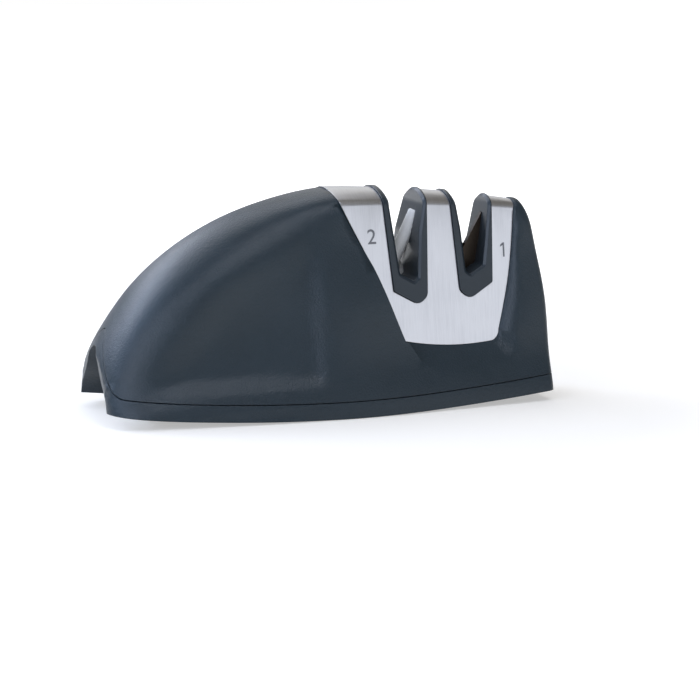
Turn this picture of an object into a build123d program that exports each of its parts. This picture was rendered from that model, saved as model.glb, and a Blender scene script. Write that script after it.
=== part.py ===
"""Two-stage pull-through knife sharpener with a hand-sized hump, as separate pieces.

Millimetres. +Z is up and z = 0 is the table. +X runs from the tail of the hump towards
the coarse slot, and the origin lies under the middle of the body. Places along the body
are written as distances from the tail, and at() turns one into an x coordinate.
"""
import os
from math import cos, radians, sin

from build123d import *

os.makedirs("parts", exist_ok=True)

# The whole body
LENGTH = 161.0
CLEAR = 95.0  # safely above everything, for cutting prisms
REACH = 60.0  # safely past both sides
DEEP = -30.0  # safely under the table
BEHIND_TAIL = 6.0  # from the tail back to the planes of its arch and notch
WALL = 2.4  # moulded shell
FIT = 0.15  # gap between pieces that slide together
TOUCH = 0.05  # gap between pieces that are pressed together

# The band round the foot: its lower edge rises towards both ends
BAND = 5.5
EDGE_TAIL = 4.8
EDGE_MIDDLE = 0.3
EDGE_FRONT = 4.0
LOWEST_AT = 74.0
SEAM_GAP = 0.3
LIP_HEIGHT = 2.2
LIP_WALL = 1.2

# The band climbs the tail as an arch over the notch: half-widths and heights of its seam
ARCH = [(36.0, 8.4), (31.0, 8.9), (27.7, 9.8), (22.7, 13.0), (15.6, 19.1), (7.2, 26.0)]
ARCH_APEX = 30.0
ARCH_DEPTH = 9.0
ARCH_RISE = 1.2  # how far the arch rises for each millimetre it grows

# Sections across the body. Each row: place along the body, crown height, then the
# half-width at the foot, flank, waist, shoulder and brow.
STATIONS = [
    (0.0, 22.9, 23.0, 21.8, 18.4, 12.4, 6.8),
    (2.0, 26.5, 27.9, 26.3, 22.4, 15.4, 9.0),
    (6.0, 32.7, 31.3, 29.0, 25.2, 18.6, 11.2),
    (14.0, 43.6, 33.6, 30.6, 27.0, 21.0, 12.8),
    (28.0, 56.4, 34.6, 31.4, 27.6, 22.4, 13.8),
    (46.0, 66.7, 34.8, 31.3, 26.2, 22.2, 14.4),
    (64.0, 72.7, 34.6, 31.2, 25.8, 21.2, 15.6),
    (84.0, 76.2, 33.7, 30.4, 26.0, 19.2, 16.4),
    (104.0, 76.5, 30.9, 27.1, 22.4, 16.2, 13.4),
    (124.0, 74.4, 27.0, 23.2, 18.7, 13.1, 10.6),
    (144.0, 71.8, 23.6, 19.8, 15.4, 10.3, 7.8),
    (166.0, 68.4, 20.4, 16.4, 12.4, 8.0, 6.0),
]
# The scoop in each side: the ridge above it, as places along the body and heights, its
# right end, its foot, its depth and the widths over which it fades in
SCOOP_RIDGE = [(10.0, 8.0), (16.0, 25.0), (36.0, 47.0), (50.0, 56.0), (70.0, 64.0), (90.0, 68.0)]
SCOOP_END = 73.0
SCOOP_FOOT = 13.0
SCOOP_DEPTH = 1.5
SCOOP_FADES = (7.0, 4.0, 3.0)  # past the ridge, before the end, above the foot

FOOT_LEVEL = 6.0  # height at which the foot half-widths are measured
LEVELS = (0.0, 0.14, 0.45, 0.78, 0.93)  # share of the rise above it, foot to brow
UNDER = -1.0  # the skin is drawn down to here and trimmed later
FRONT_ROUND = 3.0  # of the upright corners at the front
FOOT_SPREAD = 0.9
SKIN_ROWS = 54
SKIN_COLUMNS = 64

# The notch in the tail: half-widths and heights
NOTCH = [(23.0, 0.0), (22.6, 5.0), (20.2, 9.0), (15.4, 12.8), (10.6, 17.0), (6.4, 21.4)]
NOTCH_APEX = 24.6
NOTCH_DEPTH = 12.0
STRIP = 2.0  # wall round the finger recess behind the notch

# The steel cover: a leaning plane on each side, joined by a crowned top. Each row:
# place along the body, bend half-width, bend height, crown height.
COVER_ROWS = [
    (76.0, 17.4, 72.3, 76.5),
    (115.0, 11.4, 71.0, 74.8),
    (160.0, 4.5, 67.4, 68.7),
]
COVER_LEAN = 0.167  # inward run of the side for each millimetre up
COVER_FOOT = -2.0
BEND_RADIUS = 3.2  # of the outer face where the side turns into the top
BEND_MIN = 60.0  # the bend's edges are longer than this
SHEET = 0.7
TAPE = 0.25
SADDLE_WALL = 2.2

# Side outline of the steel cover, as places along the body and heights
COVER_LEFT = [(104.5, 24.0), (101.0, 33.0), (94.3, 49.8), (84.6, 69.5), (80.4, 80.0)]
COVER_BOTTOM = [(104.5, 24.0), (122.0, 21.5), (139.2, 21.9)]
COVER_CORNER = (141.0, 23.2)
COVER_RIGHT = [(141.9, 25.7), (144.3, 33.8), (146.2, 40.8), (148.8, 54.4), (151.6, 80.0)]
BEVEL_START = 0.3
BEVEL_DEPTH = 5.0
BEVEL_SPREAD = 9.5  # how far the sunk surround has spread at that depth

# The two slots. Outline points are places from the slot's own middle, towards the strap
# between the slots, and heights. The corners are their radii, in the same order. Inside
# each insert the knife channel has the same form, and its walls flare towards the top.
SLOT_FINE = 108.2
SLOT_COARSE = 133.7
FINE_OUTLINE = [(-10.7, CLEAR), (-6.3, 40.8), (3.1, 35.8), (6.7, 38.6), (9.4, CLEAR)]
COARSE_OUTLINE = [(-9.4, CLEAR), (-6.8, 42.0), (2.4, 36.7), (6.3, 39.6), (10.0, CLEAR)]
OUTLINE_CORNERS = (1.0, 3.4, 3.4)
FINE_CHANNEL = [
    (-6.8, CLEAR), (-6.2, 70.0), (-3.4, 46.8), (1.8, 43.9), (3.4, 45.2), (4.6, 60.0),
    (6.8, 70.5), (7.1, CLEAR),
]
COARSE_CHANNEL = [
    (-7.1, CLEAR), (-6.8, 70.0), (-4.9, 56.7), (-3.4, 48.1), (1.8, 45.2), (3.4, 46.5),
    (4.6, 61.0), (6.2, 71.0), (6.6, CLEAR),
]
FINE_CORNERS = (12.0, 1.0, 1.0, 1.0, 16.0, 8.0)
COARSE_CORNERS = (12.0, 30.0, 1.0, 1.0, 1.0, 30.0, 10.0)
LIP_PROUD = 0.6
LIP_BEVEL = 0.9
RIM_HALF = 6.92  # reach of the channel's rim edges about the slot's middle
RIM_FOOT = 43.5
RIM_IN = 7.8
RIM_TOP = 72.0

# Sharpening elements
CROSSING = 51.4
CROSSING_BACK = 0.7  # of the rods' crossing behind the slot's middle
ROD_RADIUS = 2.3
ROD_LENGTH = 29.0
ROD_BEVEL = 0.4
ROD_LEAN = 25.6
ROD_SHIFT = 3.0
ROD_SPREAD = 2.45  # of each rod's axis from the middle
PLATE_THICK = 2.4
PLATE_WIDTH = 7.0
PLATE_LEAN = 29.0
PLATE_SPREAD = 1.4
PLATE_CROSSING = 55.0
PLATE_LOW = -11.0
PLATE_HIGH = 12.5
BORE_PAST = 12.0  # how far the bores of rods and plates run on below them
HOLDER_HALF = 12.0
HOLDER_DEPTHS = (9.8, 8.4)  # fine, coarse
HOLDER_FOOT = 35.4

# Floor, feet, carrier, retainers and screws
FLOOR = 5.0
FLOOR_TOP = 7.0
FOOT_RADIUS = 7.0
FOOT_BEVEL = 0.5
FEET = [(34.0, -15.5), (34.0, 15.5), (121.0, -9.4), (121.0, 9.4)]
SOCKET_WALL = 1.6  # of the ring round each foot
SOCKET_FOOT = 2.4
POST_RADIUS = 3.4
HOUSING_POSTS = [(20.5, -12.0), (20.5, 12.0), (150.5, -9.5), (150.5, 9.5)]
CARRIER_POSTS = (93.0, 149.2)
CARRIER_POST_RADIUS = 2.8
CARRIER_TOP = 30.5
CARRIER = 3.0
CARRIER_WIDTH = 11.6
PAD_OUT = 7.5
PAD_LONG = 6.0
RETAINER = 2.4
RETAINER_HOLE = 6.6
RETAINER_SCREW = 9.0
CARRIER_SCREW = 9.0
HOUSING_SCREW = 12.0
SCREW_RADIUS = 1.2
SCREW_HEAD = 1.7
SCREW_HEAD_RADIUS = 2.4
SCREW_ROUND = 0.6
SCREW_CROSS = 2.6
SCREW_CROSS_DEPTH = 1.0
TAPE_MIDDLE = 29.5
TAPE_LONG = 26.0
TAPE_TALL = 8.0


def at(place):
    """x coordinate of a distance from the tail."""
    return place - LENGTH / 2


# The outer form


def section_points(station, inset):
    """Points across the body at one station, from one foot over the crown to the other."""
    place, crown, *halves = station
    x = at(place) * (1 - 2 * inset / LENGTH)
    top = crown - inset
    side = [(halves[0] + FOOT_SPREAD - inset, UNDER)]
    for half, level in zip(halves, LEVELS):
        side.append((half - inset, FOOT_LEVEL + level * (top - FOOT_LEVEL)))
    right = [Vector(x, y, z) for y, z in side]
    left = [Vector(x, -y, z) for y, z in reversed(side)]
    return right + [Vector(x, 0, top)] + left


def fade(distance, width):
    """Smooth step from 0 to 1 over a width on both sides of zero."""
    share = min(1.0, max(0.0, 0.5 + distance / (2 * width)))
    return share * share * (3 - 2 * share)


def scoop(x, height):
    """Depth of the side scoop at an x coordinate and a height."""
    place = x + LENGTH / 2
    inside = REACH
    for (start, low), (end, high) in zip(SCOOP_RIDGE, SCOOP_RIDGE[1:]):
        along = Vector(end - start, high - low).normalized()
        inside = min(inside, (place - start) * along.Y - (height - low) * along.X)
    past_ridge, before_end, above_foot = SCOOP_FADES
    share = fade(inside - past_ridge, past_ridge)
    share *= fade(SCOOP_END - place, before_end) * fade(height - SCOOP_FOOT, above_foot)
    return SCOOP_DEPTH * share


def skin(inset):
    """Smooth skin over the stations with a scoop in each side, inset by a wall."""
    rows = [section_points(station, inset) for station in STATIONS]
    rails = [Edge.make_spline(list(rail)) for rail in zip(*rows)]
    grid = []
    for row in range(SKIN_ROWS + 1):
        across = Edge.make_spline([rail @ (row / SKIN_ROWS) for rail in rails])
        line = []
        for column in range(SKIN_COLUMNS + 1):
            point = across @ (column / SKIN_COLUMNS)
            inward = scoop(point.X, point.Z) * (-1 if point.Y > 0 else 1)
            line.append(point + Vector(0, inward, 0))
        grid.append(line)
    return Face.make_surface_from_array_of_points(grid)


def front_face(inset):
    """Side outline that ends the body at its front."""
    with BuildSketch(Plane.XZ) as side:
        with BuildLine():
            nose = Spline(
                (at(152.8) - inset, 72.6 - inset),
                (at(156.3) - inset, 64.4 - inset),
                (at(158.4) - inset, 54.0),
                (at(160.4) - inset, 40.0),
                (at(161.1) - inset, 20.0),
                (at(160.7) - inset, UNDER),
            )
            Polyline(nose @ 1, (at(-5), UNDER), (at(-5), CLEAR), (at(138), CLEAR), nose @ 0)
        make_face()
    return side.sketch


def body_form(inset):
    """The whole outer form, or the same form inset by a wall."""
    with BuildPart() as form:
        extrude(skin(inset), amount=CLEAR + 5, dir=(0, 0, -1))
        extrude(front_face(inset), amount=REACH, both=True, mode=Mode.INTERSECT)
        if inset == 0:
            front = [edge for edge in form.edges() if (edge @ 0.5).X > at(150)]
            fillet([edge for edge in front if abs((edge @ 0.5).Y) > 3 and edge.length > 30],
                   FRONT_ROUND)
    return form.part


def edge_arc(lift):
    """Side curve of the band's lower edge, lifted by a height."""
    return [
        (at(-4), EDGE_TAIL + lift + 0.4),
        (at(LOWEST_AT), EDGE_MIDDLE + lift),
        (at(LENGTH + 4), EDGE_FRONT + lift + 0.4),
    ]


def below_edge(lift):
    """Side outline of everything under the band's lower edge, lifted by a height."""
    points = edge_arc(lift)
    with BuildSketch(Plane.XZ) as side:
        with BuildLine():
            ThreePointArc(*points)
            Polyline(points[2], (points[2][0], DEEP), (points[0][0], DEEP), points[0])
        make_face()
    return side.sketch


def tail_arch(grow):
    """Outline of the arch that the band's seam makes over the tail, grown by a margin."""
    right = [(y, z + grow * ARCH_RISE) for y, z in ARCH]
    left = [(-y, z) for y, z in reversed(right)]
    with BuildSketch(Plane.YZ.offset(at(-BEHIND_TAIL))) as arch:
        with BuildLine():
            Spline(right + [(0, ARCH_APEX + grow * ARCH_RISE)] + left)
            Polyline(left[-1], (left[-1][0], DEEP), (right[0][0], DEEP), right[0])
        make_face()
    return arch.sketch


def below_seam(grow):
    """Everything under the seam and inside its arch at the tail, grown by a margin."""
    with BuildPart() as form:
        extrude(below_edge(BAND + grow), amount=REACH, both=True)
        extrude(tail_arch(grow), amount=ARCH_DEPTH + BEHIND_TAIL)
    return form.part


def notch_outline(grow):
    """Pointed arch of the tail notch, grown by a margin, on a plane behind the tail."""
    right = []
    for y, z in NOTCH:
        share = y / NOTCH[0][0]
        right.append((y + grow * share**0.5, z + grow * (1 - share**2) ** 0.5))
    left = [(-y, z) for y, z in reversed(right)]
    with BuildSketch(Plane.YZ.offset(at(-BEHIND_TAIL))) as arch:
        with BuildLine():
            Spline(right + [(0, NOTCH_APEX + grow)] + left)
            Polyline(left[-1], (left[-1][0], DEEP), (right[0][0], DEEP), right[0])
        make_face()
    return arch.sketch


# The steel cover's leaning and crowned form


def cover_form(inset):
    """Solid under the steel cover's outer face, inset by a thickness."""
    rows = []
    for place, bend, level, crown in COVER_ROWS:
        foot = bend + COVER_LEAN * (level - COVER_FOOT) - inset
        height = level - inset * 0.7
        with BuildSketch(Plane.YZ.offset(at(place))) as section:
            with BuildLine():
                side = Line((foot, COVER_FOOT), (bend - inset, height))
                over = ThreePointArc(side @ 1, (0, crown - inset), (inset - bend, height))
                Polyline(over @ 1, (-foot, COVER_FOOT), side @ 0)
            make_face()
        rows.append(section.sketch)
    with BuildPart() as form:
        loft(sections=rows)
        bends = [edge for edge in form.edges() if edge.length > BEND_MIN and (edge @ 0.5).Z > 60]
        if inset < BEND_RADIUS - 0.3:
            fillet([edge for edge in bends if abs((edge @ 0.5).Y) > 5], BEND_RADIUS - inset)
    return form.part


def cover_outline(spread=0.0, back=0.0, plane=Plane.XZ):
    """Side outline of the steel cover, spread at its foot and front and moved back."""
    left = [(at(place) - back, height) for place, height in COVER_LEFT]
    bottom = [(at(place) + spread * 0.6, height - spread) for place, height in COVER_BOTTOM]
    right = [(at(place) + spread * 1.15, height) for place, height in COVER_RIGHT]
    right[0] = (right[0][0], right[0][1] - spread * 0.35)
    corner = (at(COVER_CORNER[0]) + spread * 1.02, COVER_CORNER[1] - spread * 0.86)
    with BuildSketch(plane) as side:
        with BuildLine():
            Spline(left)
            if spread:
                Line(left[0], bottom[0])
            ThreePointArc(*bottom)
            ThreePointArc(bottom[-1], corner, right[0])
            Spline(right)
            Line(right[-1], left[-1])
        make_face()
    return side.sketch


def slot_outline(middle, facing, points, corners, gap=0.0):
    """Side outline of a slot, open at the top, drawn inside or outside it by a gap."""
    placed = []
    lowest_height = min(height for along, height in points)
    for along, height in points:
        inward = 0 if height == lowest_height else gap
        narrowed = along - inward if along > 0 else along + inward
        placed.append((at(middle) + facing * narrowed, height + gap))
    with BuildSketch(Plane.XZ) as side:
        with BuildLine():
            FilletPolyline(*placed, radius=list(corners))
            Line(placed[-1], placed[0])
        make_face()
    return side.sketch


def side_plane(depth):
    """Plane parallel to the steel cover's near side, at a distance outside it."""
    place, height = COVER_BOTTOM[1]
    bend, level = COVER_ROWS[1][1], COVER_ROWS[1][2]
    taper = (COVER_ROWS[0][1] - COVER_ROWS[2][1]) / (COVER_ROWS[2][0] - COVER_ROWS[0][0])
    half = bend + COVER_LEAN * (level - height) - taper * (place - COVER_ROWS[1][0])
    along = Vector(1, taper, 0).normalized()
    outward = Vector(taper, -1, COVER_LEAN).normalized()
    up = outward.cross(along)
    anchor = Vector(at(place), -half, height)
    origin = anchor - along * at(place) - up * height + outward * depth
    return Plane(origin=origin, x_dir=along, z_dir=outward)


def upright(place, y, radius, low, high):
    """Round post or bore between two heights."""
    with BuildPart() as post:
        with Locations((at(place), y, low)):
            Cylinder(radius, high - low, align=(Align.CENTER, Align.CENTER, Align.MIN))
    return post.part


def screw(place, y, seat, length):
    """Pan-head screw driven upwards, its head under the seat height."""
    with BuildPart() as body:
        with Locations((at(place), y, seat - SCREW_HEAD)):
            Cylinder(SCREW_HEAD_RADIUS, SCREW_HEAD, align=(Align.CENTER, Align.CENTER, Align.MIN))
        with Locations((at(place), y, seat)):
            Cylinder(SCREW_RADIUS, length, align=(Align.CENTER, Align.CENTER, Align.MIN))
        foot = body.faces().sort_by(Axis.Z)[0]
        fillet(foot.edges(), SCREW_ROUND)
        with BuildSketch(Plane.XY.offset(seat - SCREW_HEAD)):
            with Locations((at(place), y)):
                Rectangle(SCREW_CROSS, SCREW_CROSS / 4)
                Rectangle(SCREW_CROSS / 4, SCREW_CROSS)
        extrude(amount=SCREW_CROSS_DEPTH, mode=Mode.SUBTRACT)
    return body.part


# Forms shared by several pieces

outer = body_form(0)
inner = body_form(WALL)
nest = body_form(WALL + FIT)
hollow = body_form(WALL + FIT + LIP_WALL)
cover = cover_form(0)
recess_floor = cover_form(SHEET + TAPE)
under_saddle = cover_form(SHEET + TAPE + SADDLE_WALL)
holder_space = cover_form(SHEET + TAPE + SADDLE_WALL + FIT)
slot_middles = [(SLOT_FINE, 1), (SLOT_COARSE, -1)]
fine_slot = (SLOT_FINE, 1, FINE_OUTLINE, OUTLINE_CORNERS)
coarse_slot = (SLOT_COARSE, -1, COARSE_OUTLINE, OUTLINE_CORNERS)
fine_channel = (SLOT_FINE, 1, FINE_CHANNEL, FINE_CORNERS)
coarse_channel = (SLOT_COARSE, -1, COARSE_CHANNEL, COARSE_CORNERS)
notch_end = NOTCH_DEPTH + BEHIND_TAIL


# Upper housing

with BuildPart() as saddle_guard:
    extrude(cover_outline(BEVEL_SPREAD + WALL, WALL), amount=REACH, both=True)
    add(under_saddle, mode=Mode.SUBTRACT)
    add(below_seam(LIP_HEIGHT + FIT), mode=Mode.SUBTRACT)

with BuildPart() as sunk_panel:
    extrude(cover_outline(FIT, FIT), amount=REACH, both=True)
    add(recess_floor, mode=Mode.SUBTRACT)

with BuildPart() as surround:
    loft(sections=[
        cover_outline(BEVEL_START, FIT, side_plane(-0.2)),
        cover_outline(BEVEL_SPREAD, FIT, side_plane(BEVEL_DEPTH)),
    ])
    mirror(about=Plane.XZ)

with BuildPart() as posts:
    for place, y in HOUSING_POSTS:
        add(upright(place, y, POST_RADIUS, FLOOR_TOP + FIT, CLEAR))
    for place in CARRIER_POSTS:
        add(upright(place, 0, CARRIER_POST_RADIUS, CARRIER_TOP + TOUCH, CLEAR))
    add(outer, mode=Mode.INTERSECT)

with BuildPart() as upper_housing:
    add(outer)
    add(inner, mode=Mode.SUBTRACT)
    add(saddle_guard.part & inner)
    add(posts.part)
    add(sunk_panel.part, mode=Mode.SUBTRACT)
    add(surround.part, mode=Mode.SUBTRACT)
    for slot in (fine_slot, coarse_slot):
        extrude(slot_outline(*slot, -FIT), amount=REACH, both=True, mode=Mode.SUBTRACT)
    add(below_seam(SEAM_GAP), mode=Mode.SUBTRACT)
    extrude(notch_outline(STRIP + SEAM_GAP), amount=notch_end + STRIP + SEAM_GAP,
            mode=Mode.SUBTRACT)
    for place, y in HOUSING_POSTS:
        add(upright(place, y, SCREW_RADIUS + TOUCH, 0, FLOOR_TOP + HOUSING_SCREW + 1),
            mode=Mode.SUBTRACT)
    for place in CARRIER_POSTS:
        add(upright(place, 0, SCREW_RADIUS + TOUCH, 0, CARRIER_TOP + CARRIER_SCREW + 1),
            mode=Mode.SUBTRACT)
upper_housing.part.label = "upper_housing"


# Base frame: band, floor, tail strip and finger recess

with BuildPart() as foot_sockets:
    for place, y in FEET:
        add(upright(place, y, FOOT_RADIUS + SOCKET_WALL, SOCKET_FOOT, FLOOR + 0.5))

with BuildPart() as lip:
    add(nest)
    add(below_seam(LIP_HEIGHT), mode=Mode.INTERSECT)

with BuildPart() as room:
    add(hollow)
    with Locations((0, 0, FLOOR)):
        Box(LENGTH + 10, REACH * 2, FLOOR_TOP - FLOOR,
            align=(Align.CENTER, Align.CENTER, Align.MIN), mode=Mode.SUBTRACT)

with BuildPart() as finger_recess:
    extrude(notch_outline(STRIP), amount=notch_end + STRIP)
    add(outer, mode=Mode.INTERSECT)

with BuildPart() as base_frame:
    add(outer)
    add(below_seam(0), mode=Mode.INTERSECT)
    add(lip.part)
    add(room.part, mode=Mode.SUBTRACT)
    add(foot_sockets.part)
    add(finger_recess.part)
    extrude(notch_outline(0), amount=notch_end, mode=Mode.SUBTRACT)
    extrude(below_edge(0), amount=REACH, both=True, mode=Mode.SUBTRACT)
    for place, y in FEET:
        add(upright(place, y, FOOT_RADIUS + FIT, -1, FLOOR), mode=Mode.SUBTRACT)
    for place, y in HOUSING_POSTS:
        add(upright(place, y, SCREW_RADIUS + 0.1, 0, FLOOR_TOP + 1), mode=Mode.SUBTRACT)
base_frame.part.label = "base_frame"


# Steel cover and the tape that holds it

with BuildPart() as steel_cover:
    add(cover)
    add(cover_form(SHEET), mode=Mode.SUBTRACT)
    extrude(cover_outline(), amount=REACH, both=True, mode=Mode.INTERSECT)
    for slot in (fine_slot, coarse_slot):
        extrude(slot_outline(*slot), amount=REACH, both=True, mode=Mode.SUBTRACT)
steel_cover.part.label = "steel_cover"

tapes = []
for side, name in ((-1, "cover_tape_right"), (1, "cover_tape_left")):
    with BuildPart() as tape:
        add(cover_form(SHEET + TOUCH))
        add(cover_form(SHEET + TAPE - TOUCH), mode=Mode.SUBTRACT)
        with BuildSketch(Plane.XZ) as patch:
            with Locations((at((SLOT_FINE + SLOT_COARSE) / 2), TAPE_MIDDLE)):
                RectangleRounded(TAPE_LONG, TAPE_TALL, 1.5)
        extrude(patch.sketch, amount=-side * REACH, mode=Mode.INTERSECT)
    tape.part.label = name
    tapes.append(tape)


# Slot guides and the sharpening elements in them


def on_channel_rim(edge, middle):
    """True for the edges where the knife channel opens through the lips and the crown."""
    point = edge @ 0.5
    if abs(point.X - at(middle)) > RIM_HALF or point.Z < RIM_FOOT:
        return False
    return edge.geom_type != GeomType.LINE and (abs(point.Y) > RIM_IN or point.Z > RIM_TOP)


def slot_guide(slot, channel, depth):
    """Moulded slot insert: two lips, a floor and a wider holder inside the housing."""
    middle = slot[0]
    with BuildPart() as holder:
        with Locations((at(middle), 0, HOLDER_FOOT)):
            Box(HOLDER_HALF * 2, depth * 2, CLEAR - HOLDER_FOOT,
                align=(Align.CENTER, Align.CENTER, Align.MIN))
        add(holder_space, mode=Mode.INTERSECT)
        add(nest, mode=Mode.INTERSECT)
    with BuildPart() as body:
        extrude(slot_outline(*slot, FIT), amount=REACH, both=True)
        add(cover_form(-LIP_PROUD), mode=Mode.INTERSECT)
        add(holder.part)
        extrude(slot_outline(*channel), amount=REACH, both=True, mode=Mode.SUBTRACT)
        rim = [edge for edge in body.edges() if on_channel_rim(edge, middle)]
        chamfer(rim, LIP_BEVEL)
        for end in (-1, 1):
            add(upright(middle, end * RETAINER_HOLE, SCREW_RADIUS + TOUCH,
                        HOLDER_FOOT - 1, HOLDER_FOOT + RETAINER_SCREW - RETAINER + 0.6),
                mode=Mode.SUBTRACT)
    return body.part


def rod(middle, facing, radius, low, high):
    """Round rod through the crossing point, leaning along the body."""
    lean = facing * ROD_LEAN
    with BuildPart() as body:
        start = Vector(at(middle) - CROSSING_BACK, -facing * ROD_SPREAD, CROSSING)
        axis = Vector(sin(radians(lean)), 0, cos(radians(lean)))
        with BuildSketch(Plane(origin=start + axis * low, z_dir=axis)):
            Circle(radius)
        extrude(amount=high - low)
    return body.part


def plate(middle, facing, grow, low, high):
    """Flat abrasive plate whose upper edge passes through the crossing of the V."""
    lean = facing * PLATE_LEAN
    with BuildPart() as body:
        axis = Vector(sin(radians(lean)), 0, cos(radians(lean)))
        across = Vector(cos(radians(lean)), 0, -sin(radians(lean)))
        middle_line = Vector(at(middle), -facing * PLATE_SPREAD, PLATE_CROSSING)
        middle_line += across * (facing * PLATE_WIDTH / 2)
        with BuildSketch(Plane(origin=middle_line + axis * low, x_dir=across, z_dir=axis)):
            Rectangle(PLATE_WIDTH + 2 * grow, PLATE_THICK + 2 * grow)
        extrude(amount=high - low)
    return body.part


rod_low = ROD_SHIFT - ROD_LENGTH / 2
rod_high = ROD_SHIFT + ROD_LENGTH / 2
with BuildPart() as fine_guide:
    add(slot_guide(fine_slot, fine_channel, HOLDER_DEPTHS[0]))
    for facing in (1, -1):
        add(rod(SLOT_FINE, facing, ROD_RADIUS + TOUCH, rod_low - BORE_PAST, rod_high + TOUCH),
            mode=Mode.SUBTRACT)
fine_guide.part.label = "fine_guide"

with BuildPart() as coarse_guide:
    add(slot_guide(coarse_slot, coarse_channel, HOLDER_DEPTHS[1]))
    for facing in (1, -1):
        add(plate(SLOT_COARSE, facing, TOUCH, PLATE_LOW - BORE_PAST, PLATE_HIGH + TOUCH),
            mode=Mode.SUBTRACT)
coarse_guide.part.label = "coarse_guide"

elements = []
for facing, name in ((1, "front"), (-1, "rear")):
    with BuildPart() as fine_rod:
        add(rod(SLOT_FINE, facing, ROD_RADIUS, rod_low, rod_high))
        chamfer(fine_rod.edges().filter_by(GeomType.CIRCLE), ROD_BEVEL)
    fine_rod.part.label = f"fine_rod_{name}"
    with BuildPart() as coarse_plate:
        add(plate(SLOT_COARSE, facing, 0, PLATE_LOW, PLATE_HIGH))
    coarse_plate.part.label = f"coarse_plate_{name}"
    elements += [fine_rod, coarse_plate]


# Retainers under the guides, the carrier that lifts them, feet and screws

retainers = []
for (middle, facing), depth, name in zip(slot_middles, HOLDER_DEPTHS, ("fine", "coarse")):
    with BuildPart() as retainer:
        with BuildSketch(Plane.XY.offset(HOLDER_FOOT - RETAINER - TOUCH)):
            with Locations((at(middle), 0)):
                RectangleRounded(HOLDER_HALF * 2 - 1, depth * 2 - 0.4, 1.5)
                with Locations((0, RETAINER_HOLE), (0, -RETAINER_HOLE)):
                    Circle(SCREW_RADIUS + 0.1, mode=Mode.SUBTRACT)
        extrude(amount=RETAINER)
    retainer.part.label = f"{name}_retainer"
    retainers.append(retainer)

carrier_length = CARRIER_POSTS[1] - CARRIER_POSTS[0] + 8
pad_height = HOLDER_FOOT - RETAINER - 2 * TOUCH - CARRIER_TOP
with BuildPart() as guide_carrier:
    with BuildSketch(Plane.XY.offset(CARRIER_TOP - CARRIER)):
        with Locations((at(sum(CARRIER_POSTS) / 2), 0)):
            RectangleRounded(carrier_length, CARRIER_WIDTH, 3)
    extrude(amount=CARRIER)
    for middle, facing in slot_middles:
        with BuildSketch(Plane.XY.offset(CARRIER_TOP)):
            with Locations((at(middle) - PAD_OUT, 0), (at(middle) + PAD_OUT, 0)):
                RectangleRounded(PAD_LONG, CARRIER_WIDTH - 2, 1)
        extrude(amount=pad_height)
    for place in CARRIER_POSTS:
        add(upright(place, 0, SCREW_RADIUS + 0.1, 0, CLEAR), mode=Mode.SUBTRACT)
guide_carrier.part.label = "guide_carrier"

feet = []
for (place, y), name in zip(FEET, ("rear_right", "rear_left", "front_right", "front_left")):
    with BuildPart() as rubber_foot:
        add(upright(place, y, FOOT_RADIUS, 0, FLOOR - TOUCH))
        chamfer(rubber_foot.faces().sort_by(Axis.Z)[0].edges(), FOOT_BEVEL)
    rubber_foot.part.label = f"rubber_foot_{name}"
    feet.append(rubber_foot)

with BuildPart() as housing_screws:
    for place, y in HOUSING_POSTS:
        add(screw(place, y, FLOOR - TOUCH, HOUSING_SCREW))
housing_screws.part.label = "housing_screws"

with BuildPart() as carrier_screws:
    for place in CARRIER_POSTS:
        add(screw(place, 0, CARRIER_TOP - CARRIER - TOUCH, CARRIER_SCREW + CARRIER))
carrier_screws.part.label = "carrier_screws"

with BuildPart() as retainer_screws:
    for middle, facing in slot_middles:
        for end in (-1, 1):
            seat = HOLDER_FOOT - RETAINER - 2 * TOUCH
            add(screw(middle, end * RETAINER_HOLE, seat, RETAINER_SCREW))
retainer_screws.part.label = "retainer_screws"

pieces = [
    upper_housing, base_frame, steel_cover, *tapes, fine_guide, coarse_guide, *elements,
    *retainers, guide_carrier, *feet, housing_screws, carrier_screws, retainer_screws,
]
for piece in pieces:
    export_step(piece.part, f"parts/{piece.part.label}.step")
    size = piece.part.bounding_box().size
    print(piece.part.label, piece.part.is_valid, len(piece.part.solids()),
          round(piece.part.volume, 1), [round(v, 1) for v in (size.X, size.Y, size.Z)])
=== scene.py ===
# %% [markdown]
# # A pull-through knife sharpener
# The real object is a small counter-top tool: a dark moulded hump that fits the palm, a bent
# steel cover at its front, and two slots in which ceramic rods and carbide plates cross in a V.
# The CAD model gives every shape and size. This scene adds what a CAD solid lacks: rounded
# edges, smooth shading, surface finishes, screws and feet with their small details, and light.

# %% Load the frame
import math

import bmesh
import bpy
from mathutils import Matrix, Vector
from mathutils.bvhtree import BVHTree


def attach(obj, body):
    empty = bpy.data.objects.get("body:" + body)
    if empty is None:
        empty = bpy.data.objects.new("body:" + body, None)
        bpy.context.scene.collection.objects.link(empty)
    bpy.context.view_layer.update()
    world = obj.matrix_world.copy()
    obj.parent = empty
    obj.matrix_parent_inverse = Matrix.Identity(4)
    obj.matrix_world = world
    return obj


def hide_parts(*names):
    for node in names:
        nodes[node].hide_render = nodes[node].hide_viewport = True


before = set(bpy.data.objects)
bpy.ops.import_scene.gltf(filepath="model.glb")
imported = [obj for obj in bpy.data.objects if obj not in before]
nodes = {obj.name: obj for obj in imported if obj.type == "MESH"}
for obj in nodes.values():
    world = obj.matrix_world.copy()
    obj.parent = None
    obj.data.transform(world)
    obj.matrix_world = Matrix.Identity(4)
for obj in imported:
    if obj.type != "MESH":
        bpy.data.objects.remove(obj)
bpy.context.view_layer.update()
print("CAD nodes:", sorted(nodes))

# %% [markdown]
# ## Units and colours
# The frame is in metres, but sizes on a moulded part are easier to read in millimetres.
# Colours are written as sRGB hex values, as a colour picker shows them, and turned into the
# linear values that shaders work with.

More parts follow.
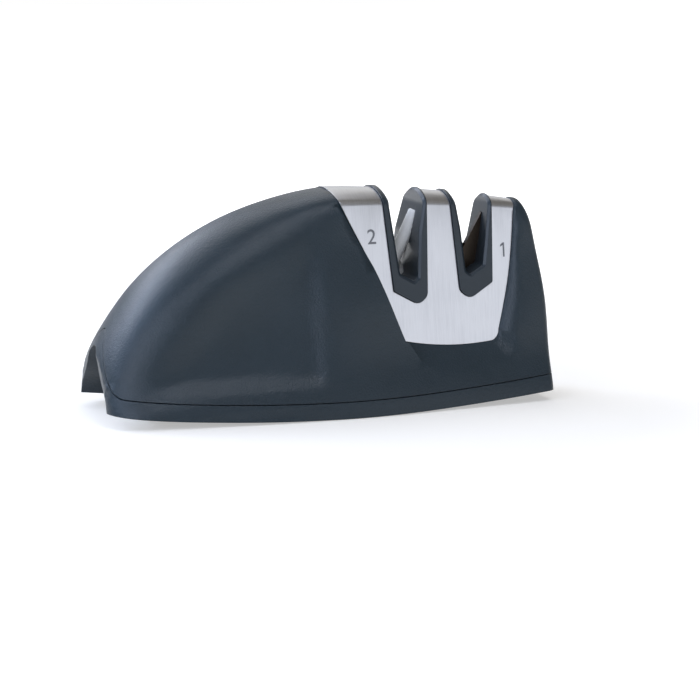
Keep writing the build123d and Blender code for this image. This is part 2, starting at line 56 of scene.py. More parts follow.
# %% Small helpers
MM = 0.001


def mm(*values):
    """A point or size given in millimetres, in metres."""
    return Vector([value * MM for value in values])


def colour(hex_value):
    """Linear RGBA from an sRGB hex value, by the curve of the sRGB standard."""
    channels = [int(hex_value[i:i + 2], 16) / 255 for i in (1, 3, 5)]
    linear = [c / 12.92 if c <= 0.04045 else ((c + 0.055) / 1.055) ** 2.4 for c in channels]
    return (*linear, 1.0)


def link(name, data):
    """A new object at the origin for a mesh, a lamp, a camera or a text."""
    thing = bpy.data.objects.new(name, data)
    bpy.context.scene.collection.objects.link(thing)
    return thing


print("mid grey is", [round(v, 3) for v in colour("#808080")])

# %% [markdown]
# ## Camera
# The photograph was taken from the near side, a little from the tail and a little from above,
# with a long lens. A camera far away with a long lens keeps the hump from bulging at us. Its
# place and turn were found by matching corners of the model with the same corners in the
# picture.

# %% Camera
YAW = math.radians(16.781)  # towards the front of the tool
PITCH = math.radians(8.47)
ROLL = math.radians(-0.36)
FOCAL = 2400.0 / 700.0  # in picture widths
CAMERA_PLACE = mm(-230.146, -800.203, 142.948)
SENSOR_MM = 36.0

camera_data = bpy.data.cameras.new("photo_camera")
camera_data.sensor_width = SENSOR_MM
camera_data.lens = SENSOR_MM * FOCAL
camera_data.clip_start = 0.01  # metres
camera_data.clip_end = 50.0
camera = link("photo_camera", camera_data)

forward = Vector((math.sin(YAW) * math.cos(PITCH),
                  math.cos(YAW) * math.cos(PITCH),
                  -math.sin(PITCH)))
right = Vector((math.cos(YAW), -math.sin(YAW), 0))
up = right.cross(forward)
tilt = Matrix.Rotation(-ROLL, 3, forward)
right, up = tilt @ right, tilt @ up
turn = Matrix((right, up, -forward)).transposed()
camera.matrix_world = Matrix.Translation(CAMERA_PLACE) @ turn.to_4x4()
bpy.context.scene.camera = camera
print("lens", round(camera_data.lens, 1), "mm, camera at", [round(v, 3) for v in camera.location])

# %% [markdown]
# ## Nodes
# Materials, the world and the screws are all node trees. Three small helpers keep them short:
# one adds a node with its settings and links, one starts a material, and one maps a value from
# one range to another.

# %% Node helpers
def add_node(tree, kind, links=(), **settings):
    """Adds a node. Settings name its properties or its sockets; links go into its sockets."""
    node = tree.nodes.new(kind)
    for name, value in settings.items():
        if hasattr(node, name):
            setattr(node, name, value)
        else:
            node.inputs[name.replace("_", " ")].default_value = value
    for socket, source in dict(links).items():
        tree.links.new(source, node.inputs[socket])
    return node


def new_material(name):
    """An empty node material and its tree."""
    material = bpy.data.materials.new(name)
    material.use_nodes = True
    material.node_tree.nodes.clear()
    return material, material.node_tree


def mapped(tree, value, low, high, start=0.0, end=1.0):
    """A value that goes from start to end, turned into one that goes from low to high."""
    reach = add_node(tree, "ShaderNodeMapRange", links={0: value},
                     From_Min=start, From_Max=end, To_Min=low, To_Max=high)
    return reach.outputs[0]


print("node helpers ready")

# %% [markdown]
# ## Floor and background
# The picture has a plain white ground that keeps only a faint shadow. The floor is a pale
# sheet. A camera ray that meets it, and a reflection that leads to it, also see a share of
# plain white, so that the ground looks white without more light on the tool. The share is
# smaller close to the tool, where it would wash out the shadow.

# %% Floor
FLOOR_REACH = 30.0  # metres to each side
floor_mesh = bpy.data.meshes.new("floor")
corners = [(-FLOOR_REACH, -FLOOR_REACH), (FLOOR_REACH, -FLOOR_REACH),
           (FLOOR_REACH, FLOOR_REACH), (-FLOOR_REACH, FLOOR_REACH)]
floor_mesh.from_pydata([(x, y, 0) for x, y in corners], [], [(0, 1, 2, 3)])
floor = link("floor", floor_mesh)
print("floor is", 2 * FLOOR_REACH, "m wide")


# %% Floor finish
def seen_rays(tree):
    """1 for rays from the camera or from a reflection or a refraction, and 0 for others."""
    path = add_node(tree, "ShaderNodeLightPath")
    first = add_node(tree, "ShaderNodeMath", operation="MAXIMUM",
                     links={0: path.outputs["Is Camera Ray"], 1: path.outputs["Is Glossy Ray"]})
    both = add_node(tree, "ShaderNodeMath", operation="MAXIMUM",
                    links={0: first.outputs[0], 1: path.outputs["Is Transmission Ray"]})
    return both.outputs[0]


WHITE = (1, 1, 1, 1)
WHITE_NEAR, WHITE_FAR = 0.43, 1.0  # shares of plain white near the tool and far from it
NEAR, FAR = 0.12, 0.5  # metres from the origin

floor_material, tree = new_material("pale_paper_floor")
paper = add_node(tree, "ShaderNodeBsdfDiffuse", Color=colour("#d5d2cd"))
place = add_node(tree, "ShaderNodeTexCoord")
away = add_node(tree, "ShaderNodeVectorMath", operation="LENGTH",
                links={0: place.outputs["Object"]})
share = mapped(tree, away.outputs["Value"], WHITE_NEAR, WHITE_FAR, NEAR, FAR)
white = add_node(tree, "ShaderNodeEmission", Color=WHITE, links={"Strength": share})
off = add_node(tree, "ShaderNodeEmission", Color=WHITE, Strength=0.0)
chosen = add_node(tree, "ShaderNodeMixShader",
                  links={0: seen_rays(tree), 1: off.outputs[0], 2: white.outputs[0]})
total = add_node(tree, "ShaderNodeAddShader", links={0: paper.outputs[0], 1: chosen.outputs[0]})
add_node(tree, "ShaderNodeOutputMaterial", links={"Surface": total.outputs[0]})
floor_mesh.materials.append(floor_material)
print("floor finish of", len(tree.nodes), "nodes")

# %% [markdown]
# ## World
# The steel mirrors the room, so the room needs tones of its own. The world is a dim sky that
# gets darker overhead, which shows the bend of the steel, and dimmer on the tail's side, which
# keeps the hump dark between its highlights. The camera itself sees plain white.

# %% World
HORIZON, OVERHEAD = "#dde1e7", "#827d73"
BETWEEN = {0.35: "#a6a9ad", 0.62: "#8f8b85"}  # by height, with 1 straight overhead
DIM, BRIGHT = 0.3, 0.8  # strengths on the tail's side and on the front's
DIM_TO, BRIGHT_FROM = -0.45, 0.15  # directions along X, from -1 to 1

world = bpy.data.worlds.new("studio")
bpy.context.scene.world = world
world.use_nodes = True
tree = world.node_tree
tree.nodes.clear()
place = add_node(tree, "ShaderNodeTexCoord")
split = add_node(tree, "ShaderNodeSeparateXYZ", links={0: place.outputs["Generated"]})
sky = add_node(tree, "ShaderNodeValToRGB", links={0: split.outputs["Z"]})
stops = sky.color_ramp.elements
stops[0].color = colour(HORIZON)
stops[1].color = colour(OVERHEAD)
for height, tone in BETWEEN.items():
    stops.new(height).color = colour(tone)
room = add_node(tree, "ShaderNodeBackground", links={
    "Color": sky.outputs[0],
    "Strength": mapped(tree, split.outputs["X"], DIM, BRIGHT, DIM_TO, BRIGHT_FROM),
})
blank = add_node(tree, "ShaderNodeBackground", Color=WHITE, Strength=1.0)
rays = add_node(tree, "ShaderNodeLightPath")
pick = add_node(tree, "ShaderNodeMixShader", links={
    0: rays.outputs["Is Camera Ray"], 1: room.outputs[0], 2: blank.outputs[0]})
add_node(tree, "ShaderNodeOutputWorld", links={"Surface": pick.outputs[0]})
print("world of", len(tree.nodes), "nodes")

# %% [markdown]
# ## Lights
# Seven soft boxes stand round the tool, because large soft lights draw broad highlights with
# soft ends. Two at the tail make the long pale highlight on the hump's shoulder. One behind it
# brightens the hump's upper edge, and one overhead lights the top. A faint one behind and a
# low one in front give the steel something to mirror. A small one above the near side reaches
# into the slots, down to the rods.

# %% Lights
TARGET = mm(5, 0, 40)


def softbox(name, direction, distance, width, height, brightness, hex_value):
    """A rectangular light of an even brightness, aimed at the tool."""
    data = bpy.data.lights.new(name, "AREA")
    data.shape = "RECTANGLE"
    data.size = width
    data.size_y = height
    data.energy = brightness * math.pi * width * height
    data.color = colour(hex_value)[:3]
    lamp = link(name, data)
    away = Vector(direction).normalized()
    lamp.location = TARGET + away * distance
    lamp.rotation_euler = away.to_track_quat("Z", "Y").to_euler()
    print(name, "gives", round(data.energy, 1), "W")


SOFTBOXES = {  # direction, distance, width and height in metres, brightness, colour
    "tail_softbox": ((-0.75, 0.36, 0.56), 1.1, 1.1, 0.65, 2.6, "#c4daff"),
    "left_softbox": ((-0.67, -0.58, 0.46), 1.1, 1.0, 0.65, 3.2, "#dde8ff"),
    "rim_softbox": ((-0.44, 0.76, 0.50), 1.2, 0.9, 0.4, 4.8, "#eaf0ff"),
    "top_softbox": ((-0.12, 0.50, 0.86), 1.2, 1.0, 0.6, 2.2, "#f6f8ff"),
    "back_softbox": ((0.37, 0.80, 0.46), 1.3, 0.8, 0.62, 0.6, "#fffdf8"),
    "front_softbox": ((0.64, -0.74, 0.17), 1.3, 0.85, 0.42, 0.84, "#eef2fb"),
    "fill_softbox": ((0.05, -0.50, 0.86), 1.3, 0.45, 0.45, 6.5, "#eef3ff"),
}
for name, row in SOFTBOXES.items():
    softbox(name, *row)

# %% [markdown]
# ## Patterns
# Every finish starts from noise on Object coordinates, which stays put on the piece in any
# view and needs no unwrapping. Sizes are given in millimetres, as they are on the real thing.

# %% Pattern helpers
BEVEL_SAMPLES = 6


def object_place(tree, scale=(1, 1, 1)):
    """Object coordinates, stretched by a scale for each axis."""
    coordinates = add_node(tree, "ShaderNodeTexCoord")
    mapping = add_node(tree, "ShaderNodeMapping", links={"Vector": coordinates.outputs["Object"]})
    mapping.inputs["Scale"].default_value = scale
    return mapping.outputs["Vector"]


def noise(tree, vector, size_mm, detail, roughness=0.5):
    """Noise whose blots are about a size in millimetres."""
    cloud = add_node(tree, "ShaderNodeTexNoise", links={"Vector": vector},
                     Scale=1.0 / (size_mm * MM), Detail=detail, Roughness=roughness)
    return cloud.outputs["Fac"]


def two_tones(tree, factor, dark, light):
    """Blend of two colours by a factor."""
    blend = add_node(tree, "ShaderNodeMix", data_type="RGBA", links={0: factor})
    blend.inputs[6].default_value = colour(dark)  # the colour sockets come after the others
    blend.inputs[7].default_value = colour(light)
    return blend.outputs[2]


def bumped(tree, height, depth_mm, strength=1.0, edge_mm=None):
    """A normal with a bump of a depth and, where an edge radius is given, rounded edges."""
    bump = add_node(tree, "ShaderNodeBump", Strength=strength, Distance=depth_mm * MM,
                    links={"Height": height})
    if edge_mm:
        rounded = add_node(tree, "ShaderNodeBevel", samples=BEVEL_SAMPLES,
                           Radius=edge_mm * MM)
        tree.links.new(rounded.outputs[0], bump.inputs["Normal"])
    return bump.outputs[0]


print("pattern helpers ready")

# %% [markdown]
# ## Moulded plastic
# The body is a moulded ABS-like plastic. The mould was spark-eroded, which leaves a fine
# even grain that breaks up reflections into a broad soft sheen. The grain is a noise bump a
# good deal coarser than the real one, 0.7 mm instead of 0.1 mm, so that it shows at this size.
# The slot inserts come from a polished mould and stay smooth. No moulded edge is truly sharp,
# and a Bevel node rounds the edges for the light without a change to the mesh.

# %% Plastic finishes
CLOUD_MM = 14.0  # slow drift between the two tones
PLASTIC_EDGE_MM = 0.3
SHINE_DRIFT = 0.08  # how far the roughness goes to each side


def moulded(name, dark, light, shine, grain_mm, depth_mm, level):
    """Moulded plastic: two close tones, a fine grain and edges with a small radius."""
    material, tree = new_material(name)
    place = object_place(tree)
    cloud = noise(tree, place, CLOUD_MM, 3.0)
    grain = noise(tree, place, grain_mm, 3.0, 0.6)
    plastic = add_node(tree, "ShaderNodeBsdfPrincipled", IOR=1.5, links={
        "Base Color": two_tones(tree, cloud, dark, light),
        "Roughness": mapped(tree, grain, shine - SHINE_DRIFT, shine + SHINE_DRIFT),
        "Normal": bumped(tree, grain, depth_mm, edge_mm=PLASTIC_EDGE_MM),
    })
    plastic.inputs["Specular IOR Level"].default_value = level
    add_node(tree, "ShaderNodeOutputMaterial", links={"Surface": plastic.outputs[0]})
    return material


# name, dark and light tone, roughness, grain and its depth in mm, specular level
body_plastic = moulded("grained_slate_abs", "#1d2a32", "#23313a", 0.37, 0.7, 0.17, 0.44)
insert_plastic = moulded("smooth_slate_abs", "#242d34", "#29333b", 0.34, 0.8, 0.008, 0.42)
inner_plastic = moulded("plain_inner_abs", "#2a2b2d", "#303134", 0.5, 0.8, 0.01, 0.4)
print("plastics:", body_plastic.name, insert_plastic.name, inner_plastic.name)

# %% [markdown]
# ## Satin stainless steel
# The cover is stainless sheet that was brushed before it was bent. Brushing leaves fine
# scratches in one direction, here over the top and down both sides, so a reflection spreads
# across them. The noise is therefore fine along X and long along Y and Z. Real scratches lie
# less than 0.1 mm apart, and these are drawn at 0.22 mm so that they show.

# %% Steel finish
SCRATCH_MM = 0.22
SCRATCH_STRETCH = 0.02  # one over how many times longer a scratch is than it is wide
STEEL_CLOUD_MM = 16.0
CLOUD_SHARE = 0.8  # of the clouds beside the scratches, in the colour
STEEL_EDGE_MM = 0.18
SCRATCH_DEPTH_MM, SCRATCH_STRENGTH = 0.006, 0.5
POLISHED, DULLED = 0.27, 0.33  # roughness in the clouds

steel, tree = new_material("satin_brushed_stainless")
along = object_place(tree, (1, SCRATCH_STRETCH, SCRATCH_STRETCH))
scratches = noise(tree, along, SCRATCH_MM, 3.0, 0.65)
clouds = noise(tree, object_place(tree), STEEL_CLOUD_MM, 3.0)
mottled = add_node(tree, "ShaderNodeMath", operation="MULTIPLY_ADD",
                   links={0: clouds, 2: scratches})
mottled.inputs[1].default_value = CLOUD_SHARE
metal = add_node(tree, "ShaderNodeBsdfPrincipled", Metallic=1.0, links={
    "Base Color": two_tones(tree, mottled.outputs[0], "#adaeb3", "#cfd0d4"),
    "Roughness": mapped(tree, clouds, POLISHED, DULLED),
    "Normal": bumped(tree, scratches, SCRATCH_DEPTH_MM, SCRATCH_STRENGTH, STEEL_EDGE_MM),
})
add_node(tree, "ShaderNodeOutputMaterial", links={"Surface": metal.outputs[0]})
print("steel:", steel.name)

# %% [markdown]
# ## Sharpening elements, rubber and hardware
# The fine slot holds two rods of sintered alumina, a white ceramic with a matt ground face.
# The coarse slot holds two plates of tungsten carbide, a dark brown-grey metal-like ceramic.
# The feet are black rubber, the screws zinc-plated steel with a faint yellow-blue cast. One
# recipe serves them all: two tones, a roughness that wanders with them, and a slight bump.

# %% Other finishes
def plain(name, dark, light, low, high, size_mm, depth_mm, metallic=0.0, level=0.5):
    """A finish of two close tones with a roughness that wanders and a small bump."""
    material, tree = new_material(name)
    patches = noise(tree, object_place(tree), size_mm, 4.0, 0.6)
    surface = add_node(tree, "ShaderNodeBsdfPrincipled", Metallic=metallic, links={
        "Base Color": two_tones(tree, patches, dark, light),
        "Roughness": mapped(tree, patches, low, high),
        "Normal": bumped(tree, patches, depth_mm),
    })
    surface.inputs["Specular IOR Level"].default_value = level
    add_node(tree, "ShaderNodeOutputMaterial", links={"Surface": surface.outputs[0]})
    return material


# name, dark and light tone, roughness from and to, patches and their depth in mm, metallic,
# specular level
ceramic = plain("ground_white_alumina", "#e9e9e7", "#f7f7f4", 0.30, 0.45, 0.6, 0.006)
carbide = plain("sintered_carbide", "#2a231d", "#3d342b", 0.28, 0.45, 0.5, 0.008, 0.7)
rubber = plain("matt_black_rubber", "#17181a", "#202225", 0.75, 0.9, 0.7, 0.02, 0.0, 0.3)
zinc = plain("zinc_plated_steel", "#b9b8b2", "#c9cacc", 0.25, 0.4, 1.5, 0.003, 1.0)
tape = plain("pale_adhesive_tape", "#c9c5b8", "#d6d2c6", 0.6, 0.8, 1.2, 0.01)
etched = plain("etched_grey_mark", "#6f7176", "#7c7e83", 0.5, 0.6, 0.4, 0.003, 0.6)
print("finishes:", [m.name for m in (ceramic, carbide, rubber, zinc, tape, etched)])

# %% [markdown]
# ## Dressing the CAD pieces
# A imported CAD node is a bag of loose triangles. A copy with its doubles merged can be shaded
# smoothly: edges that turn by more than a set angle stay sharp, and all others blend. The copy
# then stands for the node. The base and the inserts have broad flats beside narrow strips, and
# on them blending smears light over the flats. So their angle is small, and the Weighted
# Normal modifier lets the larger faces decide. The hump is round all over and needs neither.

# %% Mesh helpers
MERGE_MM = 0.002


def merged_copy(node):
    """Mesh copy of a CAD node with its doubles merged."""
    mesh = nodes[node].data.copy()
    work = bmesh.new()
    work.from_mesh(mesh)
    bmesh.ops.remove_doubles(work, verts=work.verts, dist=MERGE_MM * MM)
    bmesh.ops.dissolve_degenerate(work, edges=work.edges, dist=MERGE_MM * MM / 2)
    work.to_mesh(mesh)
    work.free()
    return mesh


def final_mesh(thing):
    """What an object looks like after its modifiers, as a plain mesh."""
    shown = thing.evaluated_get(bpy.context.evaluated_depsgraph_get())
    return bpy.data.meshes.new_from_object(shown)


print("doubles closer than", MERGE_MM, "mm are merged")


# %% Dressed pieces
def dress(piece, node, material, record_slot, sharp, weighed):
    """Shows a smooth copy of a CAD node in place of the node."""
    mesh = merged_copy(node)
    mesh.materials.clear()
    mesh.materials.append(material)
    mesh.shade_smooth()
    mesh.set_sharp_from_angle(angle=math.radians(sharp))
    thing = link(piece, mesh)
    if weighed:
        thing.modifiers.new("weigh", "WEIGHTED_NORMAL").keep_sharp = True
        mesh = final_mesh(thing)
        thing.modifiers.clear()
        thing.data = mesh
    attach(thing, "root")
    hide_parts(node)
    print(piece, "has", len(mesh.polygons), "faces")
    return thing


DRESSED = {  # CAD node, finish, record slot, sharp angle in degrees, weighed
    "housing_shell": ("upper_housing", body_plastic, "body_plastic", 24, False),
    "base_frame_shell": ("base_frame", body_plastic, "body_plastic", 8, True),
    "steel_cover_sheet": ("steel_cover", steel, "cover_steel", 24, False),
    "fine_slot_insert": ("fine_guide", insert_plastic, "insert_plastic", 10, True),
    "coarse_slot_insert": ("coarse_guide", insert_plastic, "insert_plastic", 10, True),
}
dressed = {piece: dress(piece, *row) for piece, row in DRESSED.items()}

# %% [markdown]
# ## Pieces whose CAD shape is already right
# Rods, plates, retainers and tape keep their CAD mesh and only get a finish.

# %% Finishes on CAD nodes
FINISHES = {
    "fine_rod_front": ceramic, "fine_rod_rear": ceramic,
    "coarse_plate_front": carbide, "coarse_plate_rear": carbide,
    "fine_retainer": inner_plastic, "coarse_retainer": inner_plastic,
    "guide_carrier": inner_plastic,
    "cover_tape_right": tape, "cover_tape_left": tape,
}
for name, material in FINISHES.items():
    nodes[name].data.materials.clear()
    nodes[name].data.materials.append(material)
print(len(FINISHES), "CAD nodes finished")

# %% [markdown]
# ## Node trees for repeated things
# Screws and feet repeat, so geometry node trees draw them. A tree has named inputs for its
# sizes. It works on a mesh that holds only the places, one vertex for each copy, and the
# result is kept as a plain mesh.

# %% Tree helpers
def new_tree(name, sizes):
    """A geometry node tree with named sizes in metres and a material, and its two ends."""
    tree = bpy.data.node_groups.new(name, "GeometryNodeTree")
    tree.interface.new_socket("Places", in_out="INPUT", socket_type="NodeSocketGeometry")
    for label, size in sizes.items():
        socket = tree.interface.new_socket(label, in_out="INPUT", socket_type="NodeSocketFloat")
        socket.default_value = size
    tree.interface.new_socket("Finish", in_out="INPUT", socket_type="NodeSocketMaterial")
    tree.interface.new_socket("Result", in_out="OUTPUT", socket_type="NodeSocketGeometry")
    return tree, add_node(tree, "NodeGroupInput").outputs, add_node(tree, "NodeGroupOutput")


def times(tree, value, factor):
    """A size multiplied by a number or by another size."""
    node = add_node(tree, "ShaderNodeMath", operation="MULTIPLY", links={0: value})
    if isinstance(factor, float):
        node.inputs[1].default_value = factor
    else:
        tree.links.new(factor, node.inputs[1])
    return node.outputs[0]


def vector(tree, **parts):
    """A vector from the sizes given for X, Y and Z."""
    return add_node(tree, "ShaderNodeCombineXYZ", links=parts).outputs[0]


def moved(tree, geometry, **changes):
    """Geometry moved by Translation or stretched by Scale."""
    node = add_node(tree, "GeometryNodeTransform", links={"Geometry": geometry, **changes})
    return node.outputs[0]


print("tree helpers ready")

# %% [markdown]
# ## From places to copies
# The end of each tree puts a copy on every place, makes the copies real and gives them their
# finish, because the export drops instances. A socket of the tree is set by its identifier,
# since two sockets may share a name.

# %% Copies
SMALL_PART_SHARP = 35.0  # degrees


def place_copies(tree, ends, geometry):
    """Ends a tree: a copy on each place, realized, smooth and with its finish."""
    inputs, result = ends
    copies = add_node(tree, "GeometryNodeInstanceOnPoints",
                      links={"Points": inputs["Places"], "Instance": geometry})
    real = add_node(tree, "GeometryNodeRealizeInstances", links={0: copies.outputs[0]})
    smooth = add_node(tree, "GeometryNodeSetShadeSmooth", links={0: real.outputs[0]})
    finished = add_node(tree, "GeometryNodeSetMaterial",
                        links={"Geometry": smooth.outputs[0], "Material": inputs["Finish"]})
    tree.links.new(finished.outputs[0], result.inputs[0])


def grow(piece, tree, places, finish, **sizes):
    """Runs a tree on a mesh of places and keeps the result as a plain mesh."""
    points = bpy.data.meshes.new(piece + "_places")
    points.from_pydata(places, [], [])
    thing = link(piece, points)
    modifier = thing.modifiers.new("grow", "NODES")
    modifier.node_group = tree
    wanted = {"Finish": finish, **sizes}
    for item in tree.interface.items_tree:
        if item.name in wanted:
            modifier[item.identifier] = wanted[item.name]
    mesh = final_mesh(thing)
    thing.modifiers.clear()
    thing.data = mesh
    mesh.set_sharp_from_angle(angle=math.radians(SMALL_PART_SHARP))
    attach(thing, "root")
    print(piece, "has", len(places), "copies and", len(mesh.polygons), "faces")
    return thing


print("edges of small parts stay sharp above", SMALL_PART_SHARP, "degrees")

# %% [markdown]
# ## Screws
# Every screw is a pan-head screw for plastic with a cross recess, driven from below, so its
# head points down. The head is a flat drum joined with a dome, and two blades cut the cross.
# The thread is a thin ridge swept along a helix round a slimmer core. Heights are counted
# from the seat under the head.

# %% Screw head
HEAD_SIDES = 40
BLADE_SHARE = 0.25  # a blade's thickness, of the cross's width
BLADE_HEIGHT = 1.1  # of the head's height; the upper half of a blade is in the head

screw_tree, inputs, result = new_tree("pan_head_screw", {
    "Head Radius": 2.4 * MM, "Head Height": 1.7 * MM, "Shank Radius": 1.2 * MM,
    "Length": 9.0 * MM, "Cross Width": 2.6 * MM, "Threads per Metre": 1100.0,
})
half = times(screw_tree, inputs["Head Height"], 0.5)
drum = add_node(screw_tree, "GeometryNodeMeshCylinder", Vertices=HEAD_SIDES,
                links={"Radius": inputs["Head Radius"], "Depth": half}).outputs["Mesh"]
drum = moved(screw_tree, drum, Translation=vector(screw_tree, Z=times(screw_tree, half, -0.5)))
dome = add_node(screw_tree, "GeometryNodeMeshUVSphere", Segments=HEAD_SIDES,
                Rings=HEAD_SIDES // 2, Radius=1.0).outputs[0]
dome = moved(screw_tree, dome,
             Scale=vector(screw_tree, X=inputs["Head Radius"], Y=inputs["Head Radius"], Z=half),
             Translation=vector(screw_tree, Z=times(screw_tree, half, -1.0)))
head = add_node(screw_tree, "GeometryNodeMeshBoolean", operation="UNION")
for part in (drum, dome):
    screw_tree.links.new(part, head.inputs["Mesh 2"])
cut = add_node(screw_tree, "GeometryNodeMeshBoolean", operation="DIFFERENCE",
               links={"Mesh 1": head.outputs[0]})
thin = times(screw_tree, inputs["Cross Width"], BLADE_SHARE)
deep = times(screw_tree, inputs["Head Height"], BLADE_HEIGHT)
bottom = vector(screw_tree, Z=times(screw_tree, half, -2.0))
for long_side, short_side in (("X", "Y"), ("Y", "X")):
    size = vector(screw_tree, **{long_side: inputs["Cross Width"], short_side: thin, "Z": deep})
    blade = add_node(screw_tree, "GeometryNodeMeshCube", links={"Size": size}).outputs[0]
    screw_tree.links.new(moved(screw_tree, blade, Translation=bottom), cut.inputs["Mesh 2"])
print("screw head of", len(screw_tree.nodes), "nodes")

# %% Screw shank
CORE_SIDES = 24
CORE_SHARE = 0.84  # the core's radius, of the shank's
THREAD_STEPS = 20  # points in one turn
THREAD_SHARE = 0.15  # the ridge's own radius, of the shank's
THREAD_REACH = 0.97  # of the length

core_radius = times(screw_tree, inputs["Shank Radius"], CORE_SHARE)
core = add_node(screw_tree, "GeometryNodeMeshCylinder", Vertices=CORE_SIDES,
                links={"Radius": core_radius, "Depth": inputs["Length"]})
core = moved(screw_tree, core.outputs["Mesh"],
             Translation=vector(screw_tree, Z=times(screw_tree, inputs["Length"], 0.5)))
helix = add_node(screw_tree, "GeometryNodeCurveSpiral", Resolution=THREAD_STEPS, links={
    "Rotations": times(screw_tree, inputs["Length"], inputs["Threads per Metre"]),
    "Start Radius": core_radius, "End Radius": core_radius,
    "Height": times(screw_tree, inputs["Length"], THREAD_REACH)})
ridge = add_node(screw_tree, "GeometryNodeCurvePrimitiveCircle", Resolution=4,
                 links={"Radius": times(screw_tree, inputs["Shank Radius"], THREAD_SHARE)})
thread = add_node(screw_tree, "GeometryNodeCurveToMesh", Fill_Caps=True,
                  links={"Curve": helix.outputs[0], "Profile Curve": ridge.outputs[0]})
screw = add_node(screw_tree, "GeometryNodeJoinGeometry")
for part in (cut.outputs["Mesh"], core, thread.outputs[0]):
    screw_tree.links.new(part, screw.inputs[0])
place_copies(screw_tree, (inputs, result), screw.outputs[0])
print("screw tree of", len(screw_tree.nodes), "nodes")

# %% Screws
SCREWS = {  # CAD node: seat height and length in millimetres, and places
    "housing_screws": (4.95, 12.0, [(-60, -12), (-60, 12), (70, -9.5), (70, 9.5)]),
    "carrier_screws": (27.45, 12.0, [(12.5, 0), (68.7, 0)]),
    "retainer_screws": (32.9, 9.0, [(27.7, -6.6), (27.7, 6.6), (53.2, -6.6), (53.2, 6.6)]),
}
for node, (seat, length, places) in SCREWS.items():
    spots = [mm(x, y, seat) for x, y in places]
    thing = grow("cross_" + node, screw_tree, spots, zinc, Length=length * MM)
    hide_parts(node)

# %% [markdown]
# ## Rubber feet
# A moulded rubber foot stands on ring ridges, which grip better than a flat face. The drum
# starts above the table, and the ridges reach down to it. A ridge is a circle swept round
# another circle, which closes on itself and needs no caps.

# %% Foot tree
FOOT_SIDES = 72
RIDGE_STEPS, RIDGE_SIDES = 64, 12  # along a ridge and round it
RIDGE_PLACES = (0.87, 0.56, 0.25)  # radii of the ridges, of the foot's
DRUM_FOOT = 1.2  # where the drum starts, in radii of a ridge's section

foot_tree, inputs, result = new_tree("ringed_foot", {
    "Foot Radius": 7.0 * MM, "Foot Height": 4.95 * MM, "Ridge Radius": 0.75 * MM})
low = times(foot_tree, inputs["Ridge Radius"], DRUM_FOOT)
tall = add_node(foot_tree, "ShaderNodeMath", operation="SUBTRACT",
                links={0: inputs["Foot Height"], 1: low}).outputs[0]
middle = add_node(foot_tree, "ShaderNodeMath", operation="ADD",
                  links={0: low, 1: times(foot_tree, tall, 0.5)}).outputs[0]
drum = add_node(foot_tree, "GeometryNodeMeshCylinder", Vertices=FOOT_SIDES,
                links={"Radius": inputs["Foot Radius"], "Depth": tall}).outputs["Mesh"]
foot = add_node(foot_tree, "GeometryNodeJoinGeometry")
lifted = moved(foot_tree, drum, Translation=vector(foot_tree, Z=middle))
foot_tree.links.new(lifted, foot.inputs[0])
section = add_node(foot_tree, "GeometryNodeCurvePrimitiveCircle", Resolution=RIDGE_SIDES,
                   links={"Radius": inputs["Ridge Radius"]})
for share in RIDGE_PLACES:
    circle = add_node(foot_tree, "GeometryNodeCurvePrimitiveCircle", Resolution=RIDGE_STEPS,
                      links={"Radius": times(foot_tree, inputs["Foot Radius"], share)})
    ring = add_node(foot_tree, "GeometryNodeCurveToMesh",
                    links={"Curve": circle.outputs[0], "Profile Curve": section.outputs[0]})
    up_by = vector(foot_tree, Z=inputs["Ridge Radius"])
    foot_tree.links.new(moved(foot_tree, ring.outputs[0], Translation=up_by), foot.inputs[0])
place_copies(foot_tree, (inputs, result), foot.outputs[0])
print("foot tree of", len(foot_tree.nodes), "nodes")

# %% Feet
FEET = {  # CAD node: place in millimetres
    "rubber_foot_rear_right": (-46.5, -15.5), "rubber_foot_rear_left": (-46.5, 15.5),
    "rubber_foot_front_right": (40.5, -9.4), "rubber_foot_front_left": (40.5, 9.4),
}
for node, (x, y) in FEET.items():
    thing = grow("ringed_" + node, foot_tree, [mm(x, y, 0)], rubber)
    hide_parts(node)

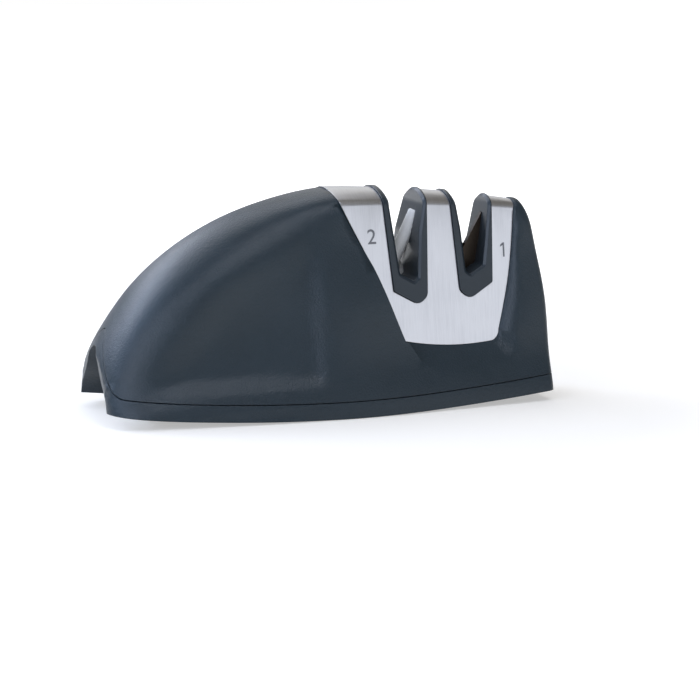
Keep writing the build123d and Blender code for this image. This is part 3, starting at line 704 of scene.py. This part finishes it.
# %% [markdown]
# ## Stage numbers
# The steel carries a plain number beside each slot: 1 for the coarse stage, which comes
# first, and 2 for the fine one. They are etched, so they have no height of their own. Each
# point of the flat writing is dropped along Y onto the steel, and then lies just above it.
# The 2 comes from Blender's own font. Its 1 reads as a bare bar at this size, so the 1 is
# drawn from its own outline, with a flag.

# %% Number shapes
CAP_MM = 5.0
FONT_SIZE = 1.44  # of the height of a capital
BOLDER_MM = 0.04  # added round each stroke
ONE = [(0, 0), (0.13, 0), (0.13, 1), (0.02, 1), (-0.2, 0.84), (-0.2, 0.7), (0, 0.82)]


def written(text):
    """Flat mesh of a text, standing on y = 0 and centred on x = 0."""
    writing = bpy.data.curves.new("writing", "FONT")
    writing.body = text
    writing.size = CAP_MM * MM * FONT_SIZE
    writing.align_x = "CENTER"
    writing.offset = BOLDER_MM * MM
    holder = link("writing", writing)
    mesh = final_mesh(holder)
    bpy.data.objects.remove(holder)
    return mesh


def drawn(outline):
    """Flat mesh of an outline whose height is 1, scaled to the height of a capital."""
    mesh = bpy.data.meshes.new("outline")
    mesh.from_pydata([mm(x * CAP_MM, y * CAP_MM, 0) for x, y in outline], [],
                     [list(range(len(outline)))])
    return mesh


print("numbers are", CAP_MM, "mm tall")

# %% Stage numbers
LIFT_MM = 0.02
IN_FRONT_MM = -60  # a plane on the near side, clear of the tool
steel_skin = BVHTree.FromObject(dressed["steel_cover_sheet"],
                                bpy.context.evaluated_depsgraph_get())


def etch(piece, mesh, x_mm, z_mm):
    """Lays a flat mark on the steel cover's near side, its foot at an x and a height."""
    for vertex in mesh.vertices:
        start = mm(x_mm, IN_FRONT_MM, z_mm) + Vector((vertex.co.x, 0, vertex.co.y))
        hit, normal = steel_skin.ray_cast(start, Vector((0, 1, 0)))[:2]
        vertex.co = hit + normal * LIFT_MM * MM
    mesh.materials.clear()
    mesh.materials.append(etched)
    thing = link(piece, mesh)
    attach(thing, "root")
    print(piece, "at", [round(v, 4) for v in mesh.vertices[0].co])


etch("stage_number_fine", written("2"), 14.2, 57.5)
etch("stage_number_coarse", drawn(ONE), 64.8, 50.5)

# %% [markdown]
# ## Last, the render uses the Standard view transform. Both boxes are written down, and
# then the frame checks that every piece rides on a body.

# %% Finish
bpy.context.scene.view_settings.view_transform = "Standard"
